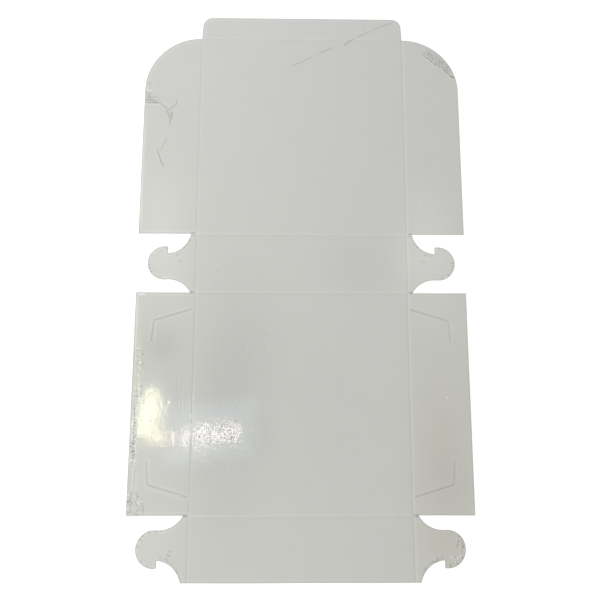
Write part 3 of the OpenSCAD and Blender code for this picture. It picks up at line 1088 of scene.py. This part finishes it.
# %% Build a strip for each crease
STRIP_ROWS = np.array([-1, -0.7, -0.35, -0.05, 0.05, 0.35, 0.7, 1]) * CREASE_HALF


def seam_ends(crease, side):
    """How far a strip reaches along its crease on the side of one of its two panels."""
    body = crease["parent"] if side < 0 else crease["child"]
    node = body_nodes[body][0]
    reach = []
    for original, points, lies_on in zip(outlines[node], *pulled_back(node)):
        for index, names in enumerate(lies_on):
            if crease["name"] in names:
                point = original[index] if crease["runs_along_x"] else points[index]
                reach.append(point @ crease["along"])
    return min(reach), max(reach)


def strip_web(crease):
    """Rows of points across a crease, and the triangles between them."""
    both = [seam_ends(crease, -1), seam_ends(crease, 1)]
    inner = seam_places(max(both[0][0], both[1][0]), min(both[0][1], both[1][1]))[1:-1]
    across = crease["point"] - crease["along"] * (crease["point"] @ crease["along"])
    points = []
    for offset in STRIP_ROWS:
        low, high = both[0] if offset < 0 else both[1]
        for place in np.concatenate([[low], inner, [high]]):
            points.append(across + crease["along"] * place + crease["away"] * offset)
    points = np.array(points)
    wide = len(inner) + 2
    faces = []
    for row in range(len(STRIP_ROWS) - 1):
        for step in range(wide - 1):
            a = row * wide + step
            b, c, d = a + 1, a + wide + 1, a + wide
            faces += [(a, b, c), (a, c, d)]
    faces = np.array(faces)
    a, b, c = points[faces[0]]
    if (b[0] - a[0]) * (c[1] - a[1]) - (b[1] - a[1]) * (c[0] - a[0]) < 0:
        faces = faces[:, ::-1]
    return points, faces


strips = {}
for crease in creases:
    places, faces = strip_web(crease)
    strip = skin(crease["name"].replace("_fold", "_crease"), places, faces)
    start = np.append(crease["point"] - crease["away"] * CREASE_HALF, CARD_T) * MM
    end = np.append(crease["point"] + crease["away"] * CREASE_HALF, CARD_T) * MM
    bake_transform(strip, crease["parent"], crease["child"], start=tuple(start), end=tuple(end))
    strips[crease["name"]] = strip
print("strip polygons", sum(len(strip.data.polygons) for strip in strips.values()))

# %% [markdown]
# ## Finishes
#
# The top face is coated: pale grey-white, smooth, with a thin gloss that mirrors lamps. The back is bare
# board, and the cut edge shows its fibres. The three finishes share the same small effects, so each effect is
# a node group with its own named inputs: uneven tone, pin dots, hairline scratches and uneven gloss.

# %% Helpers for node groups


def start_group(name, inputs, outputs):
    """A shader node group with named inputs and outputs: its tree, its input and its output sockets."""
    group = bpy.data.node_groups.new(name, "ShaderNodeTree")
    for title, value in inputs.items():
        kind = "NodeSocketVector" if value is None else "NodeSocketFloat"
        socket = group.interface.new_socket(title, in_out="INPUT", socket_type=kind)
        if value is not None:
            socket.default_value = value
    for title in outputs:
        group.interface.new_socket(title, in_out="OUTPUT", socket_type="NodeSocketFloat")
    entry = group.nodes.new("NodeGroupInput")
    leave = group.nodes.new("NodeGroupOutput")
    return group, entry.outputs, leave.inputs


def attach(tree, socket, value):
    """Links a socket to another, or sets it to a number."""
    if isinstance(value, bpy.types.NodeSocket):
        tree.links.new(value, socket)
    else:
        socket.default_value = value


def sum_node(tree, operation, first, second=0.0, third=0.0, clamp=False):
    """A Math node's result."""
    node = tree.nodes.new("ShaderNodeMath")
    node.operation = operation
    node.use_clamp = clamp
    for socket, value in zip(node.inputs, (first, second, third)):
        attach(tree, socket, value)
    return node.outputs[0]


def noise_node(tree, vector, scale, detail=2.0, roughness=0.5):
    """A Noise Texture's value, which is near one half on average."""
    node = tree.nodes.new("ShaderNodeTexNoise")
    attach(tree, node.inputs["Vector"], vector)
    attach(tree, node.inputs["Scale"], scale)
    node.inputs["Detail"].default_value = detail
    node.inputs["Roughness"].default_value = roughness
    return node.outputs["Fac"]


def stretched(tree, vector, size, turn=0.0):
    """A place scaled by its own factor along each axis, after a turn in degrees."""
    node = tree.nodes.new("ShaderNodeMapping")
    node.vector_type = "POINT"
    attach(tree, node.inputs["Vector"], vector)
    node.inputs["Rotation"].default_value = (0, 0, math.radians(turn))
    node.inputs["Scale"].default_value = size
    return node.outputs["Vector"]


def smooth_step(tree, value, low, high, to_low=0.0, to_high=1.0):
    """A value mapped smoothly from one range to another."""
    node = tree.nodes.new("ShaderNodeMapRange")
    node.interpolation_type = "SMOOTHSTEP"
    titles = ("Value", "From Min", "From Max", "To Min", "To Max")
    for title, given in zip(titles, (value, low, high, to_low, to_high)):
        attach(tree, node.inputs[title], given)
    return node.outputs["Result"]


print("groups so far", len(bpy.data.node_groups))

# %% [markdown]
# ### Uneven tone
#
# Board is pressed from fibres, so its tone drifts in clouds, runs in faint streaks along the grain and is
# speckled up close. One noise texture has a single scale and looks like a pattern. Three of them, each around
# zero and with an amount of its own, are added to one factor that the colour is multiplied by.

# %% Group: uneven tone of the board


def uneven_tone():
    """Clouds, streaks along the grain and fine fibre, as one factor around one."""
    group, given, result = start_group(
        "uneven_tone", {"Place": None, "Clouds": 0.02, "Streaks": 0.01, "Fibre": 0.02}, ["Factor"])
    place = given["Place"]
    clouds = noise_node(group, place, 0.035, 3)
    streaks = noise_node(group, stretched(group, place, (0.9, 0.02, 1)), 1.0, 2)
    fibre = noise_node(group, stretched(group, place, (1.6, 0.9, 1)), 1.0, 3, 0.65)
    total = 1.0
    for noise, amount in ((clouds, "Clouds"), (streaks, "Streaks"), (fibre, "Fibre")):
        centred = sum_node(group, "SUBTRACT", noise, 0.5)
        total = sum_node(group, "MULTIPLY_ADD", centred, given[amount], total)
    attach(group, result["Factor"], total)
    return group


tone_group = uneven_tone()
print("nodes in the tone group", len(tone_group.nodes))

# %% [markdown]
# ### Pin dots
#
# Tiny round bubbles and specks lie all over the sheet. A Voronoi texture gives each cell of a grid a random
# point, and the distance to it draws a round dot. The cell's random colour then chooses which dots show.

# %% Group: pin dots


def pin_dots():
    """Small round dots at random places, in a share of the cells of a grid."""
    group, given, result = start_group(
        "pin_dots", {"Place": None, "Spacing": 9.0, "Radius": 0.5, "Share": 0.5}, ["Mask"])
    cells = group.nodes.new("ShaderNodeTexVoronoi")
    cells.voronoi_dimensions = "2D"
    attach(group, cells.inputs["Vector"], given["Place"])
    attach(group, cells.inputs["Scale"], sum_node(group, "DIVIDE", 1.0, given["Spacing"]))
    away = sum_node(group, "MULTIPLY", cells.outputs["Distance"], given["Spacing"])
    edge = sum_node(group, "MULTIPLY", given["Radius"], 0.5)
    dot = smooth_step(group, away, edge, given["Radius"], 1.0, 0.0)
    apart = group.nodes.new("ShaderNodeSeparateColor")
    group.links.new(cells.outputs["Color"], apart.inputs["Color"])
    chosen = sum_node(group, "LESS_THAN", apart.outputs["Red"], given["Share"])
    strength = sum_node(group, "MULTIPLY_ADD", apart.outputs["Green"], 0.7, 0.3)
    shown = sum_node(group, "MULTIPLY", dot, chosen)
    attach(group, result["Mask"], sum_node(group, "MULTIPLY", shown, strength))
    return group


dots_group = pin_dots()
print("nodes in the dots group", len(dots_group.nodes))

# %% [markdown]
# ### Hairline scratches
#
# Sheets that slide over one another scratch each other's gloss with long fine lines. Where a stretched noise
# crosses one half, a thin band of it is just such a line, so no line has to be drawn. A second noise breaks
# the lines up into patches.

# %% Group: hairline scratches
# Turn of each set of scratches in degrees, and how much its noise is stretched
SCRATCH_WAYS = ((38, (0.10, 0.006, 1)), (-52, (0.09, 0.007, 1)), (4, (0.16, 0.004, 1)))


def hairlines():
    """Thin broken lines in two directions, from the contour lines of stretched noise."""
    group, given, result = start_group("hairlines", {"Place": None, "Width": 0.012, "Share": 0.5}, ["Mask"])
    total = 0.0
    for turn, size in SCRATCH_WAYS:
        lines = noise_node(group, stretched(group, given["Place"], size, turn), 1.0, 0)
        off = sum_node(group, "ABSOLUTE", sum_node(group, "SUBTRACT", lines, 0.5))
        line = smooth_step(group, off, 0.0, given["Width"], 1.0, 0.0)
        patches = noise_node(group, stretched(group, given["Place"], (0.03, 0.03, 1), turn), 1.0, 1)
        shown = smooth_step(group, patches, given["Share"], sum_node(group, "ADD", given["Share"], 0.06))
        total = sum_node(group, "MAXIMUM", sum_node(group, "MULTIPLY", line, shown), total)
    attach(group, result["Mask"], total)
    return group


hairline_group = hairlines()
print("nodes in the hairline group", len(hairline_group.nodes))

# %% [markdown]
# ### Uneven gloss
#
# A mirror image of a lamp in coated card wavers, because the coat follows the board's cockles and has a fine
# orange peel of its own. These are far too shallow to model, so they are a height in millimetres that feeds
# a Bump node.

# %% Group: the uneven gloss


def uneven_gloss():
    """Height of the coated face in millimetres: slow cockles, finer ripples and a fine orange peel."""
    group, given, result = start_group(
        "uneven_gloss", {"Place": None, "Cockle": 0.05, "Ripple": 0.012, "Peel": 0.002}, ["Height"])
    place = given["Place"]
    cockle = noise_node(group, stretched(group, place, (0.05, 0.035, 1)), 1.0, 1)
    ripple = noise_node(group, place, 0.22, 2, 0.6)
    peel = noise_node(group, place, 1.1, 2, 0.6)
    total = 0.0
    for noise, amount in ((cockle, "Cockle"), (ripple, "Ripple"), (peel, "Peel")):
        total = sum_node(group, "MULTIPLY_ADD", noise, given[amount], total)
    attach(group, result["Height"], total)
    return group


gloss_group = uneven_gloss()
print("groups", [group.name for group in bpy.data.node_groups])

# %% [markdown]
# ### Materials
#
# All finishes read the same things: the place on the flat sheet, in millimetres, and the values stored on the
# mesh. Object coordinates would do for the place as long as nothing moves, but a stored place stays with the
# card when a strip bends.

# %% Helpers for a material
# What a warmth of one adds to red, green and blue
WARMER = (0.035, -0.012, -0.10)


def place_group(tree, group, **values):
    """A copy of a group in a material, with its inputs set or linked."""
    node = tree.nodes.new("ShaderNodeGroup")
    node.node_tree = group
    for title, value in values.items():
        attach(tree, node.inputs[title], value)
    return node.outputs[0]


def start_material(name):
    """A material with a Principled shader and the place on the flat sheet, in millimetres."""
    material = bpy.data.materials.new(name)
    material.use_nodes = True
    tree = material.node_tree
    shader = tree.nodes["Principled BSDF"]
    stored = tree.nodes.new("ShaderNodeAttribute")
    stored.attribute_name = "sheet_place"
    scale = tree.nodes.new("ShaderNodeVectorMath")
    scale.operation = "SCALE"
    tree.links.new(stored.outputs["Vector"], scale.inputs[0])
    scale.inputs["Scale"].default_value = 1 / MM
    return material, tree, shader, scale.outputs[0]


def stored_value(tree, name):
    """A value kept on the mesh."""
    node = tree.nodes.new("ShaderNodeAttribute")
    node.attribute_name = name
    return node.outputs["Fac"]


def scaled(tree, colour, factor):
    """A colour made lighter or darker by a factor."""
    node = tree.nodes.new("ShaderNodeVectorMath")
    node.operation = "SCALE"
    attach(tree, node.inputs[0], colour)
    attach(tree, node.inputs["Scale"], factor)
    return node.outputs[0]


def warmed(tree, colour, amount):
    """A colour shifted towards a warm or, below zero, a cool one."""
    node = tree.nodes.new("ShaderNodeVectorMath")
    node.operation = "ADD"
    node.inputs[0].default_value = colour
    attach(tree, node.inputs[1], scaled(tree, WARMER, amount))
    return node.outputs[0]


def bumped(tree, shader, height):
    """Feeds a height in millimetres to the shader's normal."""
    bump = tree.nodes.new("ShaderNodeBump")
    bump.inputs["Distance"].default_value = MM
    attach(tree, bump.inputs["Height"], height)
    tree.links.new(bump.outputs["Normal"], shader.inputs["Normal"])


stored_names = [item.name for item in panels["lid"].data.attributes if item.domain == "POINT"]
print("values stored at a panel's points", stored_names)

# %% [markdown]
# ### The coated face
#
# A gloss coat over board could be the shader's Coat layer with a normal of its own. Here the board's own
# specular layer is the thin sharp gloss, and the Coat layer on top is the wide soft haze of a handled
# surface.

# %% Coated face
FACE_COLOUR = (0.574, 0.578, 0.542)
# How much paler or darker the dots and scratches make it
PALE_DOT, DARK_DOT, SCRATCH = 0.09, -0.16, 0.008
# How much rougher a place darkened by wear or painted shade is, and the floor of a groove
DULL_WORN, DULL_GROOVE = 0.5, 0.35
# Height of a pale dot and of a scratch, in millimetres
DOT_HEIGHT, SCRATCH_HEIGHT = 0.02, -0.0006


def coated_face():
    """The coated side: an even pale tone with dots, fine scratches, wear and painted light and shade, under
    an uneven gloss.
    """
    material, tree, shader, place = start_material("coated_face")
    tone = place_group(tree, tone_group, Place=place, Clouds=0.03, Streaks=0.02, Fibre=0.03)
    pale = place_group(tree, dots_group, Place=place, Spacing=13.0, Radius=0.95, Share=0.38)
    turned = stretched(tree, place, (1, 1, 1), 33)
    dark = place_group(tree, dots_group, Place=turned, Spacing=23.0, Radius=0.6, Share=0.35)
    lines = place_group(tree, hairline_group, Place=place, Width=0.008, Share=0.60)
    factor = sum_node(tree, "MULTIPLY_ADD", pale, PALE_DOT, tone)
    factor = sum_node(tree, "MULTIPLY_ADD", dark, DARK_DOT, factor)
    factor = sum_node(tree, "MULTIPLY_ADD", lines, SCRATCH, factor)
    # The stored tone adds wear and painted light and shade to the colour
    wear_and_shade_tone = stored_value(tree, "wear_and_painted_light_tone")
    factor = sum_node(tree, "ADD", factor, wear_and_shade_tone)
    warm = warmed(tree, FACE_COLOUR, stored_value(tree, "wear_and_painted_light_warmth"))
    tree.links.new(scaled(tree, warm, factor), shader.inputs["Base Color"])
    worn = noise_node(tree, place, 0.06, 3)
    rough = smooth_step(tree, worn, 0.3, 0.7, 0.06, 0.10)
    dull = smooth_step(tree, wear_and_shade_tone, -0.30, -0.65, 0.0, DULL_WORN)
    rough = sum_node(tree, "ADD", dull, rough)
    rough = sum_node(tree, "MULTIPLY_ADD", stored_value(tree, "pressed"), DULL_GROOVE, rough)
    attach(tree, shader.inputs["Roughness"], rough)
    shader.inputs["Coat Weight"].default_value = 0.35
    shader.inputs["Coat Roughness"].default_value = 0.42
    height = place_group(tree, gloss_group, Place=place, Cockle=0.15, Ripple=0.05, Peel=0.012)
    height = sum_node(tree, "MULTIPLY_ADD", lines, SCRATCH_HEIGHT, height)
    height = sum_node(tree, "MULTIPLY_ADD", pale, DOT_HEIGHT, height)
    bumped(tree, shader, height)
    return material


coated = coated_face()
print("nodes in the coated face", len(coated.node_tree.nodes))

# %% [markdown]
# ### The bare back and the cut edge
#
# The back has no coat, so it is matt and its fibres show. The cut edge is the same board, a little darker and
# rougher, because the knife tears its fibres. One function makes both, with the groups set to other values.

# %% Bare back and cut edge


def bare_board(name, colour, rough_low, rough_high, fibre, relief):
    """Uncoated board: matt, with its fibres showing."""
    material, tree, shader, place = start_material(name)
    tone = place_group(tree, tone_group, Place=place, Clouds=0.04, Streaks=0.03, Fibre=fibre)
    dark = place_group(tree, dots_group, Place=place, Spacing=12.0, Radius=0.3, Share=0.5)
    shade = sum_node(tree, "MULTIPLY_ADD", dark, -0.12, tone)
    tree.links.new(scaled(tree, colour, shade), shader.inputs["Base Color"])
    rough = smooth_step(tree, noise_node(tree, place, 0.8, 3), 0.3, 0.7, rough_low, rough_high)
    attach(tree, shader.inputs["Roughness"], rough)
    height = place_group(tree, gloss_group, Place=place, Cockle=0.0, Ripple=0.01, Peel=relief)
    bumped(tree, shader, height)
    return material


finishes = [
    coated,
    bare_board("bare_back", (0.585, 0.575, 0.540), 0.55, 0.7, 0.06, 0.02),
    bare_board("cut_edge", (0.50, 0.49, 0.45), 0.7, 0.85, 0.12, 0.05),
]
for piece in [*panels.values(), *strips.values()]:
    for finish in finishes:
        piece.data.materials.append(finish)
print("finishes", [finish.name for finish in finishes])

# %% [markdown]
# ## Floor
#
# The sheet lies on a plain white table. Brighter lamps would make the table white as well, but
# they would bleach the card too. So the floor adds a little light of its own to what the camera and the
# reflections see, which takes it to white and leaves the shadow under the sheet.

# %% Floor
FLOOR_HALF = 6
# The floor lies this far below the sheet, so that the two never share a plane
FLOOR_DROP = 0.02 * MM
FLOOR_GREY = 0.8
FLOOR_GLOW = 0.38


def mix_for_camera(tree, lit, seen, out):
    """One shader for the light on things, and another for what the camera and reflections see."""
    path = tree.nodes.new("ShaderNodeLightPath")
    either = sum_node(tree, "MAXIMUM", path.outputs["Is Camera Ray"], path.outputs["Is Glossy Ray"])
    mix = tree.nodes.new("ShaderNodeMixShader")
    tree.links.new(either, mix.inputs[0])
    tree.links.new(lit, mix.inputs[1])
    tree.links.new(seen, mix.inputs[2])
    tree.links.new(mix.outputs[0], out)


def white_table():
    """A large plain floor that keeps the sheet's shadow."""
    mesh = bpy.data.meshes.new("table")
    corners = [(x * FLOOR_HALF, y * FLOOR_HALF, -FLOOR_DROP) for x, y in ((-1, -1), (1, -1), (1, 1), (-1, 1))]
    mesh.from_pydata(corners, [], [(0, 1, 2, 3)])
    table = bpy.data.objects.new("table", mesh)
    bpy.context.scene.collection.objects.link(table)
    material = bpy.data.materials.new("white_table")
    material.use_nodes = True
    tree = material.node_tree
    tree.nodes.remove(tree.nodes["Principled BSDF"])
    plain = tree.nodes.new("ShaderNodeBsdfDiffuse")
    plain.inputs["Color"].default_value = (FLOOR_GREY, FLOOR_GREY, FLOOR_GREY, 1)
    glow = tree.nodes.new("ShaderNodeEmission")
    glow.inputs["Strength"].default_value = FLOOR_GLOW
    both = tree.nodes.new("ShaderNodeAddShader")
    tree.links.new(plain.outputs[0], both.inputs[0])
    tree.links.new(glow.outputs[0], both.inputs[1])
    out = tree.nodes["Material Output"]
    mix_for_camera(tree, plain.outputs[0], both.outputs[0], out.inputs["Surface"])
    mesh.materials.append(material)
    return table


table = white_table()
print("floor", 2 * FLOOR_HALF, "m wide")

# %% [markdown]
# ## Light
#
# Most of the light is the even white of the room, which is the world. The gloss mirrors what hangs
# above the sheet: a tall lamp, a small one and a tube with its shade. A picture of a room could be reflected
# instead, but a few lamps in the right places do it. Each hangs where the camera sees its mirror image at a
# chosen spot. Three weak lamps to the sides shape the wrinkles and are kept out of the gloss.

# %% The room
WORLD_LIGHT = 0.60


def make_world():
    """An even white room that looks white to the camera and lights the sheet at a plain level."""
    world = bpy.data.worlds.new("soft_room")
    bpy.context.scene.world = world
    world.use_nodes = True
    tree = world.node_tree
    lit = tree.nodes["Background"]
    lit.inputs["Color"].default_value = (1, 1, 1, 1)
    lit.inputs["Strength"].default_value = WORLD_LIGHT
    seen = tree.nodes.new("ShaderNodeBackground")
    seen.inputs["Color"].default_value = (1, 1, 1, 1)
    seen.inputs["Strength"].default_value = 1
    mix_for_camera(tree, lit.outputs[0], seen.outputs[0], tree.nodes["World Output"].inputs["Surface"])


make_world()
print("world light", WORLD_LIGHT)

# %% Weak lamps to the sides


def new_lamp(name, shape, size, watts, colour):
    """An area lamp, linked to the scene."""
    data = bpy.data.lights.new(name, "AREA")
    data.shape = shape
    data.size, data.size_y = size
    data.energy = watts
    data.color = colour
    light = bpy.data.objects.new(name, data)
    bpy.context.scene.collection.objects.link(light)
    return light


def side_lamp(name, place, aim, side, watts, colour=(1.0, 1.0, 1.0)):
    """A square lamp aimed at a point, which the gloss doesn't mirror."""
    light = new_lamp(name, "RECTANGLE", (side, side), watts, colour)
    light.location = place
    light.rotation_mode = "QUATERNION"
    light.rotation_quaternion = (Vector(aim) - Vector(place)).to_track_quat("-Z", "Y")
    light.visible_glossy = False


side_lamp("window", (-0.8, 0.3, 0.8), (0, 0, 0), 0.4, 4.6)
side_lamp("room_lamp", (-0.3, -1.2, 0.9), (0, 0, 0), 0.4, 2.2)
side_lamp("cool_fill", (-0.1, 0.75, 0.5), (0, 0.25, 0), 0.3, 0.45, (0.80, 0.72, 1.0))
print("side lamps", len(bpy.data.lights))

# %% Lamps that the gloss mirrors
# Height of these lamps above the sheet, in metres
LAMP_HEIGHT = 0.95


def overhead(name, spot, size, radiance, colour, turn=0.0, shape="RECTANGLE"):
    """A lamp whose mirror image the camera sees at a spot on the sheet, both in metres."""
    grow = (camera.location.z + LAMP_HEIGHT) / camera.location.z
    wide, long = size[0] * grow, size[1] * grow
    light = new_lamp(name, shape, (wide, long), radiance * math.pi * wide * long, colour)
    light.location = (
        camera.location.x + (spot[0] - camera.location.x) * grow,
        camera.location.y + (spot[1] - camera.location.y) * grow,
        LAMP_HEIGHT,
    )
    light.rotation_euler = (0, 0, math.radians(turn))


overhead("tall_lamp", (-0.1566, -0.1428), (0.017, 0.050), 13, (1.0, 1.0, 0.62), -16, "ELLIPSE")
overhead("small_lamp", (-0.1470, -0.1654), (0.0095, 0.0085), 38, (1.0, 0.76, 0.45))
overhead("tube", (-0.0952, -0.1633), (0.058, 0.013), 14, (1.0, 0.89, 0.86), 6)
overhead("tube_shade", (-0.0960, -0.1600), (0.096, 0.062), 2.1, (0.62, 0.80, 1.0), 4)
print("lamps in all", len(bpy.data.lights))
